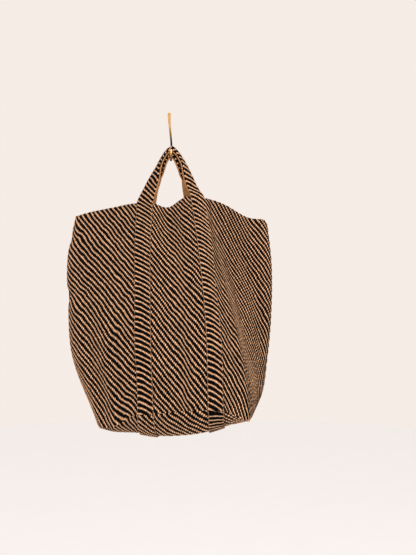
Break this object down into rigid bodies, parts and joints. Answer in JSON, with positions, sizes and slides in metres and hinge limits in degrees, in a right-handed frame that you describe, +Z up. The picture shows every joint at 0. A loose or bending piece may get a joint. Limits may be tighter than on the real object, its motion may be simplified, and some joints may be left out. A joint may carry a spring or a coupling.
{
  "type": "jute carryall bag on a brass wall hook",
  "caption": "Large open jute bag with diagonal stripes, hung by both strap handles on a small brass wall hook with a round plate; the mouth slumps and the base sags.",
  "frame": {"origin": "middle of the back of the hook's round plate, where it lies on the wall", "axes": "+X to the right seen from the room, +Y into the wall, +Z up along the hanging bag"},
  "size_m": [0.4455, 0.1635, 0.6902],
  "materials": {
    "wall_weave": "striped jute twill, matt",
    "base_weave": "striped jute twill, matt",
    "strap_weave": "striped jute twill, matt",
    "natural_weave": "plain natural jute, matt",
    "brass": "polished"
  },
  "bodies": {
    "root": {"front_left_panel": "wall_weave", "front_panel": "wall_weave", "left_side_panel": "wall_weave", "right_side_panel": "wall_weave", "back_panel": "wall_weave", "base_panel": "base_weave", "front_band": "strap_weave", "back_band": "strap_weave", "base_band_left": "strap_weave", "base_band_right": "strap_weave", "front_handle_facing": "natural_weave", "back_handle_facing": "natural_weave", "wall_hook": "brass"}
  },
  "joints": []
}
